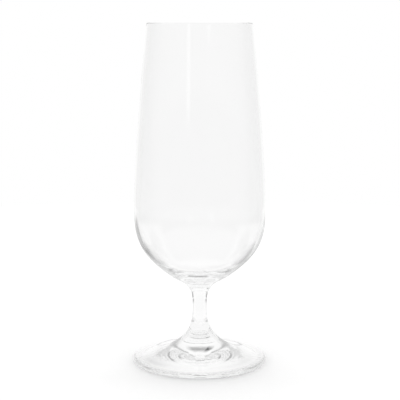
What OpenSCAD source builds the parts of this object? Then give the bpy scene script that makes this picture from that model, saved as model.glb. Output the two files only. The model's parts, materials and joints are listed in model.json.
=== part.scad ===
// Stemmed pilsner glass: a blown bowl, a drawn stem and a spun foot, fused end to end on one axis.
// It stands on z = 0 with its axis along z. Lengths are millimetres and slopes are degrees.
// An outline is a list of [radius, height] points, and every piece is one outline turned round the axis.

/* [Bowl] */
// Height of the bowl, from its weld with the stem to the rim
bowl_h = 147; // [110:1:190]
// Outside diameter at the rim
rim_d = 58.2; // [48:0.2:68]
// Thickness of the wall at the rim
rim_wall = 1.2; // [0.8:0.1:2.5]
// Lean of the wall below the rim, from upright
rim_lean = 6.2; // [0:0.2:12]
// Outside diameter at the belly, the widest part
belly_d = 73.6; // [66:0.2:84]
// Thickness of the wall at the belly
belly_wall = 1.5; // [0.8:0.1:2.5]
// Height of the belly above the weld with the stem
belly_h = 41.4; // [34:0.2:55]
// Diameter where the round bottom turns into the funnel
turn_d = 34.2; // [26:0.2:42]
// Height of that turn above the weld with the stem
turn_h = 7.1; // [5:0.1:9]
// Slope of the bottom at that turn
turn_slope = 36.9; // [28:0.1:44]
// Glass under the middle of the drinking space, above the weld with the stem
floor_t = 6.5; // [4.5:0.1:9]

/* [Stem] */
// Height of the stem between its two welds
stem_h = 23; // [16:0.5:60]
// Diameter at the waist, the thinnest part
waist_d = 7.7; // [6:0.1:9.5]
// Height of the waist above the weld with the foot
waist_h = 10.7; // [7:0.1:13]
// Diameter of the weld between bowl and stem
bowl_weld_d = 13.6; // [11:0.1:18]
// Slope of the surface at the weld between bowl and stem
bowl_weld_slope = 56; // [45:1:75]
// Diameter of the weld between stem and foot
foot_weld_d = 11.2; // [10:0.1:15]
// Slope of the surface at the weld between stem and foot
foot_weld_slope = 70; // [58:1:82]

/* [Foot] */
// Height of the foot, from the table to its weld with the stem
foot_h = 20; // [14:0.5:30]
// Diameter of the foot
foot_d = 75; // [60:0.5:90]
// Thickness of the foot's rounded edge
edge_t = 3; // [2:0.1:5]
// Slope of the foot's upper surface where it meets the edge
edge_slope = 8; // [2:0.5:12]
// Width of the flat ring that the glass stands on
ring_w = 3.5; // [2:0.1:8]
// Depth of the hollow under the foot, in the middle
hollow_h = 4; // [0.5:0.1:6]

/* [Hidden] */
$fn = 128;

// Straight steps that stand for each curve
curve_steps = 20;

rim_r = rim_d / 2;
belly_r = belly_d / 2;
turn_r = turn_d / 2;
waist_r = waist_d / 2;
bowl_weld_r = bowl_weld_d / 2;
foot_weld_r = foot_weld_d / 2;
foot_r = foot_d / 2;
rim_round_r = rim_wall / 2;
edge_round_r = edge_t / 2;

foot_weld_z = foot_h;
waist_z = foot_weld_z + waist_h;
bowl_weld_z = foot_weld_z + stem_h;
turn_z = bowl_weld_z + turn_h;
floor_z = bowl_weld_z + floor_t;
belly_z = bowl_weld_z + belly_h;
rim_z = bowl_weld_z + bowl_h;

// Handles of the wall between rim and belly, as shares of its height
wall_handle_shares = [0.26, 0.24];
// Handles of the bottom between belly and turn: of the drop, and of the run
bottom_handle_shares = [0.54, 0.71];
// Handles of the funnel between turn and weld, as shares of its run
funnel_handle_shares = [0.53, 0.4];
// Handles of the inside between belly and floor: of the drop, and of the run
inside_handle_shares = [0.62, 0.5];
// Handles of the stem between bowl weld and waist, as shares of its height
neck_handle_shares = [0.21, 0.81];
// Handles of the stem between waist and foot weld, as shares of its height
shank_handle_shares = [0.47, 0.28];
// Handles of the foot's upper side: of the fall from weld to edge, and of the run
bell_handle_shares = [0.53, 0.5];

// Unit step along a slope: 0 is outward, 90 is up
function heading(slope) = [cos(slope), sin(slope)];

// Points of a smooth curve from a to d with handles b and c, without the first point
function curve(a, b, c, d) = [
    for (i = [1:curve_steps])
        let (t = i / curve_steps, s = 1 - t)
            s^3 * a + 3 * s^2 * t * b + 3 * s * t^2 * c + t^3 * d
];

// Points of a round stretch about a centre, without the first point
function round_stretch(centre, radius, from, to) = [
    for (i = [1:curve_steps])
        centre + radius * heading(from + (to - from) * i / curve_steps)
];

// Points of the shallow dish under the foot, from its edge to the axis
function dish(radius, depth) = [
    for (i = [1:curve_steps])
        let (share = 1 - i / curve_steps)
            [radius * share, depth * (1 - share^2)]
];

// Points in the opposite order, without the first few of them
function reverse(points, skipped) = [
    for (i = [len(points) - 1 - skipped:-1:0]) points[i]
];

rim_centre = [rim_r - rim_round_r, rim_z - rim_round_r];
rim_outside = rim_centre + rim_round_r * heading(rim_lean);
rim_inside = rim_centre - rim_round_r * heading(rim_lean);
belly_outside = [belly_r, belly_z];
belly_inside = [belly_r - belly_wall, belly_z];
turn_point = [turn_r, turn_z];
bowl_weld = [bowl_weld_r, bowl_weld_z];
waist = [waist_r, waist_z];
foot_weld = [foot_weld_r, foot_weld_z];
edge_centre = [foot_r - edge_round_r, edge_round_r];
edge_top = edge_centre + edge_round_r * heading(90 - edge_slope);

// Wall between the rim and the belly, outside or inside
function wall_curve(top, belly) =
    let (drop = top.y - belly.y)
        curve(top, top - wall_handle_shares[0] * drop * heading(rim_lean + 90),
              belly + [0, wall_handle_shares[1] * drop], belly);

// Outside of the bowl from the belly to the turn
function bottom_curve() =
    let (drop = belly_z - turn_z, run = belly_r - turn_r)
        curve(belly_outside, belly_outside - [0, bottom_handle_shares[0] * drop],
              turn_point + bottom_handle_shares[1] * run * heading(turn_slope), turn_point);

// Outside of the bowl from the turn to the weld with the stem
function funnel_curve() =
    let (run = turn_r - bowl_weld_r)
        curve(turn_point, turn_point - funnel_handle_shares[0] * run * heading(turn_slope),
              bowl_weld + funnel_handle_shares[1] * run * heading(bowl_weld_slope), bowl_weld);

// Inside of the bowl from the belly to the middle of the floor
function inside_curve() =
    let (drop = belly_z - floor_z, run = belly_inside.x)
        curve(belly_inside, belly_inside - [0, inside_handle_shares[0] * drop],
              [inside_handle_shares[1] * run, floor_z], [0, floor_z]);

// Stem from the weld with the bowl to the waist
function neck_curve() =
    let (drop = bowl_weld_z - waist_z)
        curve(bowl_weld, bowl_weld - neck_handle_shares[0] * drop * heading(bowl_weld_slope),
              waist + [0, neck_handle_shares[1] * drop], waist);

// Stem from the waist to the weld with the foot
function shank_curve() =
    let (drop = waist_z - foot_weld_z)
        curve(waist, waist - [0, shank_handle_shares[0] * drop],
              foot_weld + shank_handle_shares[1] * drop * heading(180 - foot_weld_slope), foot_weld);

// Upper side of the foot from the weld to the edge
function bell_curve() =
    let (fall = foot_weld_z - edge_top.y, run = edge_top.x - foot_weld_r)
        curve(foot_weld, foot_weld - bell_handle_shares[0] * fall * heading(180 - foot_weld_slope),
              edge_top + bell_handle_shares[1] * run * heading(180 - edge_slope), edge_top);

// Thin-walled bowl with a fire-polished rim and a solid funnel below its floor
module bowl() {
    color([0.92, 0.95, 0.95, 0.35])
        rotate_extrude()
            polygon(concat(
                [[0, bowl_weld_z], bowl_weld],
                reverse(concat([belly_outside], bottom_curve(), funnel_curve()), 1),
                reverse(concat([rim_outside], wall_curve(rim_outside, belly_outside)), 1),
                round_stretch(rim_centre, rim_round_r, rim_lean, rim_lean + 180),
                wall_curve(rim_inside, belly_inside),
                inside_curve()
            ));
}

// Solid stem, drawn in to a waist between its two welds
module stem() {
    color([0.93, 0.95, 0.96, 0.35])
        rotate_extrude()
            polygon(concat(
                [[0, foot_weld_z], [0, bowl_weld_z], bowl_weld],
                neck_curve(),
                shank_curve()
            ));
}

// Spun foot: a bell that spreads to a disc, with a round edge, a standing ring and a hollow underside
module foot() {
    color([0.91, 0.94, 0.94, 0.35])
        rotate_extrude()
            polygon(concat(
                [[0, foot_weld_z], foot_weld],
                bell_curve(),
                round_stretch(edge_centre, edge_round_r, 90 - edge_slope, -90),
                [[edge_centre.x - ring_w, 0]],
                dish(edge_centre.x - ring_w, hollow_h)
            ));
}

bowl();
stem();
foot();
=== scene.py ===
"""Looks of a stemmed pilsner glass: a blown bowl, a drawn stem and a spun foot, fused end to end.

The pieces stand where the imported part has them, with the axis along z and the table at z = 0.
Lengths are metres, and slopes and directions are degrees. Bearing 0 is straight behind the glass,
as the camera sees it, and bearings to the right count up.
"""

from __future__ import annotations

import json
import logging
import math
from dataclasses import dataclass
from enum import Enum
from typing import Any

import bmesh
import bpy
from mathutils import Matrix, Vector
from mathutils.geometry import interpolate_bezier

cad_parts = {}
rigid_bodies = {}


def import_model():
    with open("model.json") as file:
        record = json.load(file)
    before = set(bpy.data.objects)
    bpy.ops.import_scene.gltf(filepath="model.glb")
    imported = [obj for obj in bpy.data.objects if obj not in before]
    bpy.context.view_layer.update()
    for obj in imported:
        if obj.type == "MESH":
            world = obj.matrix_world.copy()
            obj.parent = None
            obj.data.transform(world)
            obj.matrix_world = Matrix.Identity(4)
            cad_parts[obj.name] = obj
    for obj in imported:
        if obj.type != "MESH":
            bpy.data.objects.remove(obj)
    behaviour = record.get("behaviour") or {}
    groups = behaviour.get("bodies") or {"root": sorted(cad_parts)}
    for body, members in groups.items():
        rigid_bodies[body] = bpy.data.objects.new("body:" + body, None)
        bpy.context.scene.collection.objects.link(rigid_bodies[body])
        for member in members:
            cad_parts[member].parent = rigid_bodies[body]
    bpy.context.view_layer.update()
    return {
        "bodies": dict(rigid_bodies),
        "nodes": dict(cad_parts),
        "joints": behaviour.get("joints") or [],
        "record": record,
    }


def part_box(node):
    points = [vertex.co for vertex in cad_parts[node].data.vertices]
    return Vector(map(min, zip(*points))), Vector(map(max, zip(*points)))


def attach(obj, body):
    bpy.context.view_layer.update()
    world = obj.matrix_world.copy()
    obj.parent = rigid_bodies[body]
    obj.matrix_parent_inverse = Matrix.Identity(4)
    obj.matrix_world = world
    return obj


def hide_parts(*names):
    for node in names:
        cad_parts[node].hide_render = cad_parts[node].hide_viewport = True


LOG = logging.getLogger("pilsner_glass")
MM = 0.001
BODY = "root"
AXIS = Vector((0.0, 0.0, 1.0))
ORIGIN = Vector((0.0, 0.0, 0.0))
RIGHT_ANGLE = 90.0
HALF_TURN = 180.0

Range = tuple[float, float]
Triple = tuple[float, float, float]
Colour = tuple[float, float, float, float]
Socket = bpy.types.NodeSocket


class Signal:
    """A shader socket that takes part in Python arithmetic by adding Math nodes."""

    COUNT_SLACK = 0.5

    def __init__(self, tree: ShaderTree, socket: Socket) -> None:
        """Keep the socket and the tree that new nodes go to."""
        self.tree = tree
        self.socket = socket

    def apply(self, operation: str, *values: Any) -> Signal:
        """Add one Math node.

        Args:
            operation: The Math node's operation.
            values: Its inputs, as numbers or signals.

        Returns:
            The node's result.
        """
        made = self.tree.node("ShaderNodeMath", {"operation": operation}, dict(enumerate(values)))
        return self.tree.signal(made, "Value")

    def __add__(self, other: Any) -> Signal:
        """Sum with a number or a signal."""
        return self.apply("ADD", self, other)

    __radd__ = __add__

    def __sub__(self, other: Any) -> Signal:
        """Difference, this one first."""
        return self.apply("SUBTRACT", self, other)

    def __rsub__(self, other: Any) -> Signal:
        """Difference, this one last."""
        return self.apply("SUBTRACT", other, self)

    def __mul__(self, other: Any) -> Signal:
        """Product with a number or a signal."""
        return self.apply("MULTIPLY", self, other)

    __rmul__ = __mul__

    def __pow__(self, other: float) -> Signal:
        """Power with a number."""
        return self.apply("POWER", self, other)

    def least(self, other: Any) -> Signal:
        """The smaller of two values."""
        return self.apply("MINIMUM", self, other)

    def most(self, other: Any) -> Signal:
        """The larger of two values."""
        return self.apply("MAXIMUM", self, other)

    def equals(self, count: int) -> Signal:
        """1 where a count has one value, and 0 elsewhere."""
        return self.apply("COMPARE", self, count, self.COUNT_SLACK)

    def choose(self, there: Any, elsewhere: Any) -> Signal:
        """One value where this mask is 1, and another where it is 0."""
        return self * there + (1 - self) * elsewhere

    def size(self) -> Signal:
        """The value without its sign."""
        return self.apply("ABSOLUTE", self)

    def lift(self) -> Signal:
        """Degrees above the horizon, from the upward part of a direction."""
        return self.apply("DEGREES", self.apply("ARCSINE", self))

    def bearing(self, ahead: Signal) -> Signal:
        """Degrees to the side, from the sideways and the forward part of a direction."""
        return self.apply("DEGREES", self.apply("ARCTAN2", self, ahead))


class ShaderTree:
    """The node tree of a material or of the world."""

    def __init__(self, owner: bpy.types.Material | bpy.types.World) -> None:
        """Empty the owner's tree, to fill it from the start.

        Args:
            owner: The material or the world.
        """
        owner.use_nodes = True
        self.tree = owner.node_tree
        self.tree.nodes.clear()

    def node(self, kind: str, settings: dict[str, Any], inputs: dict[Any, Any]) -> bpy.types.Node:
        """Add any node.

        Args:
            kind: The node's type.
            settings: Its own settings, which are set first.
            inputs: Values, signals or shader sockets for its inputs, by name or by number.

        Returns:
            The node.
        """
        made = self.tree.nodes.new(kind)
        for name, value in settings.items():
            setattr(made, name, value)
        for name, value in inputs.items():
            if isinstance(value, Signal):
                value = value.socket
            if isinstance(value, Socket):
                self.tree.links.new(value, made.inputs[name])
            else:
                made.inputs[name].default_value = value
        return made

    def signal(self, made: bpy.types.Node, output: str) -> Signal:
        """An output of a node, ready for arithmetic."""
        return Signal(self, made.outputs[output])

    def coordinates(self, kind: str) -> Socket:
        """Texture coordinates of one kind."""
        return self.node("ShaderNodeTexCoord", {}, {}).outputs[kind]

    def separate(self, vector: Socket) -> tuple[Signal, Signal, Signal]:
        """The x, y and z of a vector."""
        made = self.node("ShaderNodeSeparateXYZ", {}, {"Vector": vector})
        return self.signal(made, "X"), self.signal(made, "Y"), self.signal(made, "Z")

    def smooth_step(self, value: Signal, low: float, high: float, start: float, end: float) -> Signal:
        """Ease from one value to another.

        Args:
            value: What is followed.
            low: Where the ease begins.
            high: Where it ends.
            start: Result up to low.
            end: Result from high on.

        Returns:
            The eased value.
        """
        made = self.node(
            "ShaderNodeMapRange",
            {"interpolation_type": "SMOOTHSTEP"},
            {"Value": value, "From Min": low, "From Max": high, "To Min": start, "To Max": end},
        )
        return self.signal(made, "Result")

    def band(self, value: Signal, low: float, high: float, ease: float) -> Signal:
        """1 inside a range and 0 outside it.

        Args:
            value: What is followed.
            low: Lower end of the range.
            high: Upper end of the range.
            ease: Width over which each end is softened.

        Returns:
            The softened mask.
        """
        start = self.smooth_step(value, low - ease / 2, low + ease / 2, 0.0, 1.0)
        end = self.smooth_step(value, high - ease / 2, high + ease / 2, 1.0, 0.0)
        return start * end


class LightPath:
    """How light came to the eye, as masks of 0 and 1."""

    SOLID_CROSSINGS = 2

    def __init__(self, tree: ShaderTree) -> None:
        """Add the node that knows the path."""
        self.tree = tree
        self.node = tree.node("ShaderNodeLightPath", {}, {})

    def camera(self) -> Signal:
        """1 for what the camera sees with nothing in between."""
        return self.tree.signal(self.node, "Is Camera Ray")

    def scattered(self) -> Signal:
        """1 for light that falls on a matt surface."""
        return self.tree.signal(self.node, "Diffuse Depth").least(1.0)

    def mirrored(self) -> Signal:
        """1 for light that was reflected, and 0 for light straight through the glass."""
        return self.tree.signal(self.node, "Glossy Depth").least(1.0)

    def solid(self) -> Signal:
        """1 for light that went into one solid piece of glass and out of it again."""
        return self.tree.signal(self.node, "Transmission Depth").equals(self.SOLID_CROSSINGS)


def heading(slope: float) -> Vector:
    """Unit step in an outline's plane: 0 is outward, 90 is up."""
    return Vector((math.cos(math.radians(slope)), math.sin(math.radians(slope))))


class Outline:
    """A line of radius and height, which is turned round the axis to make a piece."""

    CURVE_STEPS = 48
    ROUND_STEPS = 64

    def __init__(self, radius: float, height: float) -> None:
        """Start at one point."""
        self.points: list[Vector] = [Vector((radius, height))]

    def line_to(self, end: Vector) -> Outline:
        """Go straight to a point."""
        self.points.append(end)
        return self

    def curve_to(self, leave: Vector, arrive: Vector, end: Vector) -> Outline:
        """Go along a smooth curve.

        Args:
            leave: Handle next to the present point.
            arrive: Handle next to the end.
            end: Where the curve ends.

        Returns:
            This outline.
        """
        self.points += interpolate_bezier(self.points[-1], leave, arrive, end, self.CURVE_STEPS + 1)[1:]
        return self

    def round_to(self, centre: Vector, radius: float, start: float, end: float) -> Outline:
        """Go along a part of a circle.

        Args:
            centre: Centre of the circle.
            radius: Its radius.
            start: Direction from the centre to the present point.
            end: Direction from the centre to the end.

        Returns:
            This outline.
        """
        for step in range(1, self.ROUND_STEPS + 1):
            turn = start + (end - start) * step / self.ROUND_STEPS
            self.line_to(centre + radius * heading(turn))
        return self

    def dish_to_axis(self, depth: float) -> Outline:
        """Go along a shallow dish to the axis.

        Args:
            depth: Rise from the present point to the middle of the dish.

        Returns:
            This outline.
        """
        edge = self.points[-1]
        for step in range(1, self.CURVE_STEPS + 1):
            share = 1.0 - step / self.CURVE_STEPS
            self.line_to(Vector((edge.x * share, edge.y + depth * (1.0 - share**2))))
        return self


class Face(Enum):
    """The two kinds of face on a piece, by their material slot."""

    SURFACE = 0
    WELD = 1


class Making(Enum):
    """How a piece of glass was shaped, which leaves its own faint marks."""

    BLOWN = "soft waves"
    DRAWN = "lines along the axis"
    SPUN = "rings round the axis"


@dataclass(frozen=True)
class GlassFinish:
    """Clear glass with the faint marks of its making, worn where it stands on the table.

    A scale is a number of waves per metre.
    """

    name: str
    making: Making
    tint: Colour = (0.995, 0.995, 0.995, 1.0)
    ior: float = 1.5
    blown_scale: Triple = (40.0, 40.0, 18.0)
    blown_height: float = 0.02 * MM
    blown_ripple: float = 0.05 * MM
    drawn_scale: Triple = (700.0, 700.0, 15.0)
    drawn_height: float = 0.001 * MM
    spun_scale: float = 2000.0
    spun_height: float = 0.002 * MM
    spun_ripple: float = 0.07 * MM
    ripple_scale: Triple = (150.0, 150.0, 150.0)
    ripple_fade: Range = (58.0 * MM, 76.0 * MM)
    worn_scale: float = 900.0
    worn_height: float = 0.05 * MM
    worn_roughness: float = 0.25

    def waves(self, tree: ShaderTree, place: Socket, scale: Triple) -> Signal:
        """Soft waves, which can be longer along one axis.

        Args:
            tree: The glass's shader.
            place: Object coordinates.
            scale: Scale along each axis.

        Returns:
            Noise from 0 to 1.
        """
        mapped = tree.node("ShaderNodeMapping", {}, {"Vector": place, "Scale": scale})
        noise = tree.node("ShaderNodeTexNoise", {}, {"Vector": mapped.outputs["Vector"], "Scale": 1.0})
        return tree.signal(noise, "Fac")

    def rings(self, tree: ShaderTree, place: Socket) -> Signal:
        """Rings round the axis.

        Args:
            tree: The glass's shader.
            place: Object coordinates.

        Returns:
            Noise from 0 to 1 along the radius alone.
        """
        side, depth, _ = tree.separate(place)
        reach = (side**2 + depth**2) ** 0.5
        along = {"W": reach, "Scale": self.spun_scale}
        return tree.signal(tree.node("ShaderNodeTexNoise", {"noise_dimensions": "1D"}, along), "Fac")

    def ripples(self, tree: ShaderTree, place: Socket, height: float) -> Signal:
        """Ripples low on the glass, where it was worked while hot.

        Args:
            tree: The glass's shader.
            place: Object coordinates.
            height: Height of the ripples.

        Returns:
            Their height in metres, which fades out up the bowl.
        """
        _, _, up = tree.separate(place)
        fade = tree.smooth_step(up, *self.ripple_fade, height, 0.0)
        return fade * self.waves(tree, place, self.ripple_scale)

    def marks(self, tree: ShaderTree, place: Socket) -> Signal:
        """All the marks of the making.

        Args:
            tree: The glass's shader.
            place: Object coordinates.

        Returns:
            Their height in metres.
        """
        if self.making is Making.DRAWN:
            return self.waves(tree, place, self.drawn_scale) * self.drawn_height
        if self.making is Making.SPUN:
            rings = self.rings(tree, place) * self.spun_height
            return rings + self.ripples(tree, place, self.spun_ripple)
        waves = self.waves(tree, place, self.blown_scale) * self.blown_height
        return waves + self.ripples(tree, place, self.blown_ripple)

    def wear(self, tree: ShaderTree, place: Socket) -> Signal:
        """Fine scuffs on the standing ring.

        Args:
            tree: The glass's shader.
            place: Object coordinates.

        Returns:
            The roughness, which is 0 on all the polished glass.
        """
        _, _, up = tree.separate(place)
        scuffs = tree.node("ShaderNodeTexNoise", {}, {"Vector": place, "Scale": self.worn_scale})
        ring = tree.smooth_step(up, 0.0, self.worn_height, self.worn_roughness, 0.0)
        return ring * tree.signal(scuffs, "Fac")

    def material(self) -> bpy.types.Material:
        """Make the material.

        Returns:
            Clear glass whose surface is a little uneven.
        """
        made = bpy.data.materials.new(self.name)
        tree = ShaderTree(made)
        place = tree.coordinates("Object")
        marks = self.marks(tree, place)
        bump = tree.node("ShaderNodeBump", {}, {"Height": marks, "Distance": 1.0, "Strength": 1.0})
        glass = tree.node(
            "ShaderNodeBsdfPrincipled",
            {},
            {
                "Base Color": self.tint,
                "Roughness": self.wear(tree, place),
                "IOR": self.ior,
                "Transmission Weight": 1.0,
                "Normal": bump.outputs["Normal"],
            },
        )
        tree.node("ShaderNodeOutputMaterial", {}, {"Surface": glass.outputs["BSDF"]})
        return made


@dataclass(frozen=True)
class WeldFinish:
    """A fused weld, which lets light pass from one piece of glass to the next unbent."""

    name: str = "fused_weld"

    def material(self) -> bpy.types.Material:
        """Make the material.

        Returns:
            A surface that shows nothing.
        """
        made = bpy.data.materials.new(self.name)
        tree = ShaderTree(made)
        clear = tree.node("ShaderNodeBsdfPrincipled", {}, {"Alpha": 0.0})
        tree.node("ShaderNodeOutputMaterial", {}, {"Surface": clear.outputs["BSDF"]})
        return made


@dataclass(frozen=True)
class Weld:
    """A flat round face where two pieces are fused, and the slope of the surface beside it."""

    height: float
    radius: float
    slope: float

    def edge(self) -> Vector:
        """The weld's edge, as a point of an outline."""
        return Vector((self.radius, self.height))


@dataclass
class TurnedPiece:
    """A piece of glass that is one outline turned round the axis."""

    name: str
    finish: GlassFinish
    weld_material: bpy.types.Material

    SEGMENTS = 192
    MERGE = 0.0005 * MM

    def outline(self) -> Outline:
        """The piece's outline, from axis to axis."""
        raise NotImplementedError

    def welds(self) -> list[Weld]:
        """Where the piece is fused to others."""
        raise NotImplementedError

    def kind(self, face: bmesh.types.BMFace) -> Face:
        """Tell what a face is.

        Args:
            face: A face of the turned shape.

        Returns:
            Whether it is open to the air or fused to another piece.
        """
        for weld in self.welds():
            if all(abs(corner.co.z - weld.height) < self.MERGE for corner in face.verts):
                return Face.WELD
        return Face.SURFACE

    def build(self) -> bpy.types.Object:
        """Turn the outline and dress it.

        Returns:
            The finished piece, with its place in its mesh.
        """
        mesh = bpy.data.meshes.new(self.name)
        shape = bmesh.new()
        corners = [shape.verts.new((point.x, 0.0, point.y)) for point in self.outline().points]
        line = [shape.edges.new(pair) for pair in zip(corners, corners[1:])]
        bmesh.ops.spin(
            shape,
            geom=corners + line,
            cent=ORIGIN,
            axis=AXIS,
            angle=math.tau,
            steps=self.SEGMENTS,
            use_merge=True,
        )
        bmesh.ops.remove_doubles(shape, verts=shape.verts, dist=self.MERGE)
        bmesh.ops.recalc_face_normals(shape, faces=shape.faces)
        for face in shape.faces:
            face.smooth = True
            face.material_index = self.kind(face).value
        for edge in shape.edges:
            edge.smooth = len({face.material_index for face in edge.link_faces}) == 1
        shape.to_mesh(mesh)
        shape.free()
        mesh.materials.append(self.finish.material())
        mesh.materials.append(self.weld_material)
        piece = bpy.data.objects.new(self.name, mesh)
        bpy.context.scene.collection.objects.link(piece)
        return piece


@dataclass
class Bowl(TurnedPiece):
    """The blown bowl, with a fire-polished rim and a solid funnel under its floor.

    The shares place a curve's two handles, as parts of its height or of its run.
    """

    weld: Weld
    rim_height: float
    belly_radius: float
    rim_radius: float = 29.1 * MM
    rim_wall: float = 1.2 * MM
    rim_lean: float = 6.2
    belly_wall: float = 1.5 * MM
    belly_above_weld: float = 41.4 * MM
    turn_radius: float = 17.1 * MM
    turn_above_weld: float = 7.1 * MM
    turn_slope: float = 36.9
    floor_above_weld: float = 6.5 * MM
    wall_shares: Range = (0.26, 0.24)
    bottom_shares: Range = (0.54, 0.71)
    funnel_shares: Range = (0.53, 0.4)
    inside_shares: Range = (0.62, 0.5)

    def welds(self) -> list[Weld]:
        """The weld with the stem."""
        return [self.weld]

    def outline(self) -> Outline:
        """Draw the bowl.

        Returns:
            The line from the weld up the outside, over the rim and down the inside to the floor.
        """
        weld = self.weld.edge()
        turn = Vector((self.turn_radius, weld.y + self.turn_above_weld))
        belly = Vector((self.belly_radius, weld.y + self.belly_above_weld))
        inner_belly = belly - Vector((self.belly_wall, 0.0))
        floor = Vector((0.0, weld.y + self.floor_above_weld))
        rim_round = self.rim_wall / 2
        rim_centre = Vector((self.rim_radius - rim_round, self.rim_height - rim_round))
        outer_rim = rim_centre + rim_round * heading(self.rim_lean)
        inner_rim = rim_centre - rim_round * heading(self.rim_lean)
        down_wall = -heading(self.rim_lean + RIGHT_ANGLE)
        funnel_run = turn.x - weld.x
        bottom_run = belly.x - turn.x
        outer_drop = outer_rim.y - belly.y
        inner_drop = inner_rim.y - belly.y
        line = Outline(0.0, weld.y).line_to(weld)
        line.curve_to(
            weld + self.funnel_shares[1] * funnel_run * heading(self.weld.slope),
            turn - self.funnel_shares[0] * funnel_run * heading(self.turn_slope),
            turn,
        )
        line.curve_to(
            turn + self.bottom_shares[1] * bottom_run * heading(self.turn_slope),
            belly - Vector((0.0, self.bottom_shares[0] * (belly.y - turn.y))),
            belly,
        )
        line.curve_to(
            belly + Vector((0.0, self.wall_shares[1] * outer_drop)),
            outer_rim + self.wall_shares[0] * outer_drop * down_wall,
            outer_rim,
        )
        line.round_to(rim_centre, rim_round, self.rim_lean, self.rim_lean + HALF_TURN)
        line.curve_to(
            inner_rim + self.wall_shares[0] * inner_drop * down_wall,
            inner_belly + Vector((0.0, self.wall_shares[1] * inner_drop)),
            inner_belly,
        )
        line.curve_to(
            inner_belly - Vector((0.0, self.inside_shares[0] * (inner_belly.y - floor.y))),
            floor + Vector((self.inside_shares[1] * inner_belly.x, 0.0)),
            floor,
        )
        return line


@dataclass
class Stem(TurnedPiece):
    """The solid stem, drawn in to a waist between its two welds.

    The shares place a curve's two handles, as parts of its height.
    """

    foot_weld: Weld
    bowl_weld: Weld
    waist_radius: float = 3.85 * MM
    waist_above_foot: float = 10.7 * MM
    neck_shares: Range = (0.21, 0.81)
    shank_shares: Range = (0.47, 0.28)

    def welds(self) -> list[Weld]:
        """The welds with the foot and the bowl."""
        return [self.foot_weld, self.bowl_weld]

    def outline(self) -> Outline:
        """Draw the stem.

        Returns:
            The line from the upper weld down the outside to the lower weld.
        """
        top = self.bowl_weld.edge()
        bottom = self.foot_weld.edge()
        waist = Vector((self.waist_radius, bottom.y + self.waist_above_foot))
        neck = top.y - waist.y
        shank = waist.y - bottom.y
        line = Outline(0.0, top.y).line_to(top)
        line.curve_to(
            top - self.neck_shares[0] * neck * heading(self.bowl_weld.slope),
            waist + Vector((0.0, self.neck_shares[1] * neck)),
            waist,
        )
        line.curve_to(
            waist - Vector((0.0, self.shank_shares[0] * shank)),
            bottom + self.shank_shares[1] * shank * heading(HALF_TURN - self.foot_weld.slope),
            bottom,
        )
        return line.line_to(Vector((0.0, bottom.y)))


@dataclass
class Foot(TurnedPiece):
    """The spun foot: a bell that spreads to a disc, with a standing ring and a hollow underneath.

    The shares place the bell's two handles, as parts of its fall and of its run.
    """

    weld: Weld
    radius: float
    edge_thickness: float = 3.0 * MM
    edge_slope: float = 8.0
    ring_width: float = 3.5 * MM
    hollow_depth: float = 4.0 * MM
    bell_shares: Range = (0.53, 0.5)

    def welds(self) -> list[Weld]:
        """The weld with the stem."""
        return [self.weld]

    def outline(self) -> Outline:
        """Draw the foot.

        Returns:
            The line from the weld down the bell, round the edge and along the underside to the axis.
        """
        weld = self.weld.edge()
        edge_round = self.edge_thickness / 2
        edge_centre = Vector((self.radius - edge_round, edge_round))
        edge_top = edge_centre + edge_round * heading(RIGHT_ANGLE - self.edge_slope)
        fall = weld.y - edge_top.y
        run = edge_top.x - weld.x
        line = Outline(0.0, weld.y).line_to(weld)
        line.curve_to(
            weld - self.bell_shares[0] * fall * heading(HALF_TURN - self.weld.slope),
            edge_top + self.bell_shares[1] * run * heading(HALF_TURN - self.edge_slope),
            edge_top,
        )
        line.round_to(edge_centre, edge_round, RIGHT_ANGLE - self.edge_slope, -RIGHT_ANGLE)
        line.line_to(Vector((edge_centre.x - self.ring_width, 0.0)))
        return line.dish_to_axis(self.hollow_depth)


@dataclass(frozen=True)
class StripLight:
    """A narrow upright light behind the camera, which the glass mirrors."""

    bearing: float
    low: float
    lean: float = 0.0
    high: float = 20.0
    width: float = 7.0
    ease: float = 4.0

    def mask(self, tree: ShaderTree, bearing: Signal, height: Signal) -> Signal:
        """Where the light is.

        Args:
            tree: The world's shader.
            bearing: Degrees to the side.
            height: Degrees above the horizon.

        Returns:
            1 on the light and 0 elsewhere.
        """
        aside = bearing - self.lean * height - self.bearing
        across = tree.band(aside, -self.width / 2, self.width / 2, self.ease)
        return across * tree.band(height, self.low, self.high, self.ease)


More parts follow.
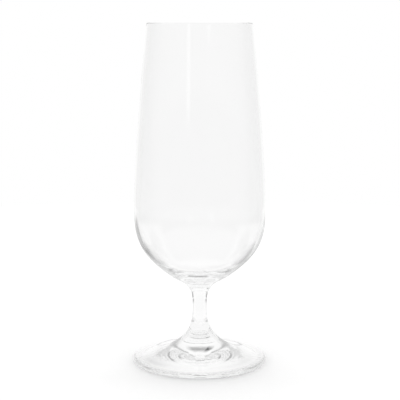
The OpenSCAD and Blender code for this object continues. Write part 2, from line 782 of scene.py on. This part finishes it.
@dataclass(frozen=True)
class RoomLight:
    """How bright the studio is by direction, as the glass shows it.

    A level of 1 is white, and a depth is the share of the light that is missing.
    """

    # Light on the floor
    fill: float = 0.9
    # Walls, the sweep behind the glass, which fades into them on both sides, and the light from above
    walls: float = 0.65
    sweep: Range = (9.0, 69.0)
    top: Range = (25.0, 34.0)
    # Dark gap between the sweep and the light from above, with a dark card to the left
    gap_heights: Range = (22.0, 36.0)
    gap_ease: float = 25.0
    gap_turn: Range = (9.0, 20.0)
    gap_depth: float = 0.76
    card: Range = (-17.0, -9.0)
    card_ease: float = 2.0
    card_depth: float = 0.52
    # Dim panels on both sides
    panel_heights: Range = (9.5, 35.0)
    panel_heights_ease: float = 3.5
    panel_turn: Range = (29.0, 68.0)
    panel_turn_ease: float = 8.0
    panel_depth: float = 0.47
    # Strip lights behind the camera
    strips: tuple[StripLight, ...] = (StripLight(-160.0, low=4.0, lean=0.3), StripLight(160.0, low=11.0))
    strip_level: float = 1.2
    # Dark room beside the sweep, which only light through solid glass shows
    through_low: Range = (-6.0, -4.0)
    through_near: Range = (31.0, 67.0)
    through_far: Range = (78.0, 92.0)
    through_depth: float = 0.84

    def room(self, tree: ShaderTree, bearing: Signal, height: Signal) -> Signal:
        """The room in reflections.

        Args:
            tree: The world's shader.
            bearing: Degrees to the side.
            height: Degrees above the horizon.

        Returns:
            Its brightness.
        """
        turned = bearing.size()
        sweep = tree.smooth_step(turned, *self.sweep, 1.0, 0.0)
        top = tree.smooth_step(height, *self.top, 0.0, 1.0)
        lit = self.walls + (1 - self.walls) * (1 - (1 - sweep) * (1 - top))
        gap = tree.smooth_step(turned, *self.gap_turn, self.gap_depth, 0.0)
        card = tree.band(bearing, *self.card, self.card_ease) * self.card_depth
        dark = tree.band(height, *self.gap_heights, self.gap_ease) * (gap + card)
        panels = tree.band(turned, *self.panel_turn, self.panel_turn_ease)
        panels = panels * tree.band(height, *self.panel_heights, self.panel_heights_ease)
        plain = lit * (1 - dark) * (1 - panels * self.panel_depth)
        strips = sum(strip.mask(tree, bearing, height) for strip in self.strips)
        return strips.choose(self.strip_level, plain)

    def hidden(self, tree: ShaderTree, turned: Signal) -> Signal:
        """How dark the room is beside the sweep, by degrees to either side."""
        near = tree.smooth_step(turned, *self.through_near, 0.0, self.through_depth)
        return near * tree.smooth_step(turned, *self.through_far, 1.0, 0.0)

    def dress(self, world: bpy.types.World) -> None:
        """Light the world: white to the eye, and a studio to the glass.

        Args:
            world: The scene's world.
        """
        tree = ShaderTree(world)
        path = LightPath(tree)
        right, back, up = tree.separate(tree.coordinates("Generated"))
        height = up.lift()
        bearing = right.bearing(back)
        raised = tree.smooth_step(height, *self.through_low, 0.0, 1.0)
        straight = 1 - path.solid() * self.hidden(tree, bearing.size()) * raised
        seen = path.mirrored().choose(self.room(tree, bearing, height), straight)
        level = path.camera().choose(1.0, path.scattered().choose(self.fill, seen))
        glow = tree.node("ShaderNodeBackground", {}, {"Color": level, "Strength": 1.0})
        tree.node("ShaderNodeOutputWorld", {}, {"Surface": glow.outputs["Background"]})


@dataclass(frozen=True)
class SweepFinish:
    """The pale floor: white to the eye, with a painted soft contact shadow, and a painted table glow to
    the glass.

    A reach is a distance from under the glass. A level of 1 is white, and a depth is the share of
    the light that is missing.
    """

    light: RoomLight
    pale: float = 0.8
    glow: float = 0.335
    # Painted contact shadow: an Ambient Occlusion node darkens the floor's colour and glow where
    # something stands close by along the lean, less so beside the glass
    shadow_reach: float = 60.0 * MM
    shadow_samples: int = 16
    shadow_lean: Triple = (0.0, 1.0, 0.0)
    shadow_from: float = 0.97
    shadow_power: float = 0.58
    shadow_depth: float = 0.355
    shadow_front: Range = (-38.0 * MM, -12.0 * MM)
    shadow_side_share: float = 0.5
    # Painted table glow, which light through or off the glass sees, with its dim parts painted too
    # Floor under the foot
    foot_reach: Range = (35.0 * MM, 55.0 * MM)
    foot_level: float = 0.96
    # Floor in front of the glass, where the forward part of a direction is low
    front_turn: Range = (-0.5, -0.29)
    front_reach: Range = (150.0 * MM, 300.0 * MM)
    front_levels: Range = (0.57, 0.49)
    # Dim patch behind the glass, in two parts: the left and the middle
    patch_start: Range = (100.0 * MM, 130.0 * MM)
    patch_end: Range = (170.0 * MM, 620.0 * MM)
    patch_turn: Range = (34.0, 46.0)
    left_turn: Range = (-32.0, -20.0)
    left_depth: float = 0.75
    middle_turn: Range = (-14.0, 24.0)
    middle_ease: float = 10.0
    middle_depth: float = 0.52
    # Two dim lanes, left and right: how far to the side, and how far behind the glass
    lane_sides: Range = (49.0 * MM, 110.0 * MM)
    lane_ends: Range = (11.5 * MM, 112.0 * MM)
    lane_ease: float = 15.0 * MM
    lane_depth: float = 0.405
    # Far floor on both sides
    far_reach: Range = (300.0 * MM, 450.0 * MM)
    far_turn: Range = (30.0, 70.0)
    far_level: float = 0.59
    # Where the dark room beside the sweep shows, to light through solid glass
    through_start: Range = (146.0 * MM, 246.0 * MM)
    through_end: Range = (300.0 * MM, 400.0 * MM)

    def shade(self, tree: ShaderTree, place: Socket) -> Signal:
        """The painted contact shadow, drawn from an Ambient Occlusion node.

        Args:
            tree: The floor's shader.
            place: Where on the floor, from under the glass.

        Returns:
            1 on the open floor, and less near the foot.
        """
        lean = tree.node("ShaderNodeCombineXYZ", {}, dict(zip("XYZ", self.shadow_lean)))
        open_sky = tree.node(
            "ShaderNodeAmbientOcclusion",
            {"samples": self.shadow_samples},
            {"Distance": self.shadow_reach, "Normal": lean.outputs["Vector"]},
        )
        _, depth, _ = tree.separate(place)
        front = tree.smooth_step(depth, *self.shadow_front, 1.0, self.shadow_side_share)
        closed = (self.shadow_from - tree.signal(open_sky, "AO")).most(0.0) ** self.shadow_power
        return 1 - closed * front * self.shadow_depth

    def seen(self, tree: ShaderTree, place: Socket, path: LightPath) -> Signal:
        """The floor as the glass shows it: a painted glow, brighter or dimmer by place, in place of a
        lit table.

        Args:
            tree: The floor's shader.
            place: Where on the floor, from under the glass.
            path: How the light came.

        Returns:
            Its brightness.
        """
        side, depth, _ = tree.separate(place)
        aim = tree.node("ShaderNodeVectorMath", {"operation": "NORMALIZE"}, {0: place})
        right, back, _ = tree.separate(aim.outputs["Vector"])
        length = tree.node("ShaderNodeVectorMath", {"operation": "LENGTH"}, {0: place})
        reach = tree.signal(length, "Value")
        bearing = right.bearing(back)
        turned = bearing.size()
        patch = tree.smooth_step(reach, *self.patch_start, 0.0, 1.0)
        patch = patch * tree.smooth_step(reach, *self.patch_end, 1.0, 0.0)
        patch = patch * tree.smooth_step(turned, *self.patch_turn, 1.0, 0.0)
        left = tree.smooth_step(bearing, *self.left_turn, self.left_depth, 0.0)
        middle = tree.band(bearing, *self.middle_turn, self.middle_ease) * self.middle_depth
        lanes = tree.band(side.size(), *self.lane_sides, self.lane_ease)
        lanes = lanes * tree.band(depth, *self.lane_ends, self.lane_ease)
        dim = (patch * left.most(middle)).most(lanes * self.lane_depth)
        far = tree.smooth_step(reach, *self.far_reach, 0.0, 1.0)
        far = far * tree.smooth_step(turned, *self.far_turn, 0.0, 1.0)
        behind = far.choose(self.far_level, 1 - dim)
        ahead = tree.smooth_step(reach, *self.front_reach, *self.front_levels)
        front = tree.smooth_step(back, *self.front_turn, 1.0, 0.0)
        foot = tree.smooth_step(reach, *self.foot_reach, 1.0, 0.0)
        room = foot.choose(self.foot_level, front.choose(ahead, behind))
        apart = tree.smooth_step(reach, *self.through_start, 0.0, 1.0)
        apart = apart * tree.smooth_step(reach, *self.through_end, 1.0, 0.0)
        straight = 1 - path.solid() * apart * self.light.hidden(tree, turned)
        return path.mirrored().choose(room, straight)

    def material(self) -> bpy.types.Material:
        """Make the material.

        Returns:
            A matt floor to the eye, and a painted table glow to light that comes through or off the
            glass.
        """
        made = bpy.data.materials.new("white_sweep")
        tree = ShaderTree(made)
        path = LightPath(tree)
        place = tree.coordinates("Object")
        shade = self.shade(tree, place)
        # Painted shadow: the shade darkens the floor's colour and its glow
        matt = tree.node("ShaderNodeBsdfDiffuse", {}, {"Color": self.pale * shade})
        lift = tree.node("ShaderNodeEmission", {}, {"Color": self.glow * shade})
        lifted = {0: matt.outputs["BSDF"], 1: lift.outputs["Emission"]}
        floor = tree.node("ShaderNodeAddShader", {}, lifted)
        # Painted glow of the table, for light that comes through or off the glass
        table = tree.node("ShaderNodeEmission", {}, {"Color": self.seen(tree, place, path)})
        both = tree.node(
            "ShaderNodeMixShader",
            {},
            {"Fac": path.camera(), 1: table.outputs["Emission"], 2: floor.outputs["Shader"]},
        )
        tree.node("ShaderNodeOutputMaterial", {}, {"Surface": both.outputs["Shader"]})
        return made


@dataclass
class Studio:
    """White sweep, soft light from all round and the photograph's camera."""

    rim_height: float
    light: RoomLight = RoomLight()
    floor_radius: float = 600.0 * MM
    floor_segments: int = 96
    floor_gap: float = 0.05 * MM
    camera_distance: float = 650.0 * MM
    camera_side: float = 0.17 * MM
    focal_px: float = 1176.0
    rim_above_centre_px: float = 177.2
    frame_px: float = 400.0
    sensor_mm: float = 36.0
    bounces: int = 300

    def build(self) -> None:
        """Make the floor, the world and the camera."""
        self.floor()
        self.camera()
        scene = bpy.context.scene
        scene.world = bpy.data.worlds.new("studio")
        self.light.dress(scene.world)
        scene.view_settings.view_transform = "Standard"
        scene.cycles.max_bounces = self.bounces
        scene.cycles.glossy_bounces = self.bounces
        scene.cycles.transmission_bounces = self.bounces
        scene.cycles.transparent_max_bounces = self.bounces

    def floor(self) -> None:
        """Make a pale round floor, a hair under the glass."""
        mesh = bpy.data.meshes.new("floor")
        shape = bmesh.new()
        bmesh.ops.create_circle(
            shape,
            cap_ends=True,
            segments=self.floor_segments,
            radius=self.floor_radius,
        )
        bmesh.ops.translate(shape, verts=shape.verts, vec=-self.floor_gap * AXIS)
        shape.to_mesh(mesh)
        shape.free()
        mesh.materials.append(SweepFinish(self.light).material())
        floor = bpy.data.objects.new("floor", mesh)
        bpy.context.scene.collection.objects.link(floor)

    def camera(self) -> None:
        """Make a camera level with the rim, which looks down on the glass a little."""
        lens = bpy.data.cameras.new("camera")
        lens.sensor_width = self.sensor_mm
        lens.lens = self.sensor_mm * self.focal_px / self.frame_px
        camera = bpy.data.objects.new("camera", lens)
        camera.location = (self.camera_side, -self.camera_distance, self.rim_height)
        pitch = math.atan(self.rim_above_centre_px / self.focal_px)
        camera.rotation_euler = (math.radians(RIGHT_ANGLE) - pitch, 0.0, 0.0)
        bpy.context.scene.collection.objects.link(camera)
        bpy.context.scene.camera = camera


@dataclass
class Glass:
    """The whole glass: bowl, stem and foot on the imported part's sizes, fused at two welds."""

    frame: dict[str, Any]
    bowl_weld_slope: float = 56.0
    foot_weld_slope: float = 70.0

    SAME_HEIGHT = 0.01 * MM

    def top_weld(self, node: str, slope: float) -> Weld:
        """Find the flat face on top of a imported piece.

        Args:
            node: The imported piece.
            slope: Slope of the surface beside the weld.

        Returns:
            The weld there.
        """
        _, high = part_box(node)
        corners = [corner.co for corner in self.frame["nodes"][node].data.vertices]
        radius = max(place.xy.length for place in corners if abs(place.z - high.z) < self.SAME_HEIGHT)
        return Weld(high.z, radius, slope)

    def pieces(self) -> dict[str, TurnedPiece]:
        """Size the three pieces.

        Returns:
            The pieces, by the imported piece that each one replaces.
        """
        _, bowl_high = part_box("bowl")
        _, foot_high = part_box("foot")
        bowl_weld = self.top_weld("stem", self.bowl_weld_slope)
        foot_weld = self.top_weld("foot", self.foot_weld_slope)
        fused = WeldFinish().material()
        blown = GlassFinish("blown_glass", Making.BLOWN)
        drawn = GlassFinish("drawn_glass", Making.DRAWN)
        spun = GlassFinish("spun_glass", Making.SPUN)
        return {
            "bowl": Bowl(
                "bowl_glass",
                blown,
                fused,
                weld=bowl_weld,
                rim_height=bowl_high.z,
                belly_radius=bowl_high.x,
            ),
            "stem": Stem("stem_glass", drawn, fused, foot_weld=foot_weld, bowl_weld=bowl_weld),
            "foot": Foot("foot_glass", spun, fused, weld=foot_weld, radius=foot_high.x),
        }


def main() -> None:
    """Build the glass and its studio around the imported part, and report each piece."""
    logging.basicConfig(level=logging.INFO, format="%(name)s: %(message)s")
    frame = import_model()
    _, bowl_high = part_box("bowl")
    for node, part in Glass(frame).pieces().items():
        piece = part.build()
        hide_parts(node)
        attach(piece, BODY)
        LOG.info("%s: %d faces", piece.name, len(piece.data.polygons))
    Studio(bowl_high.z).build()


if __name__ == "__main__":
    main()
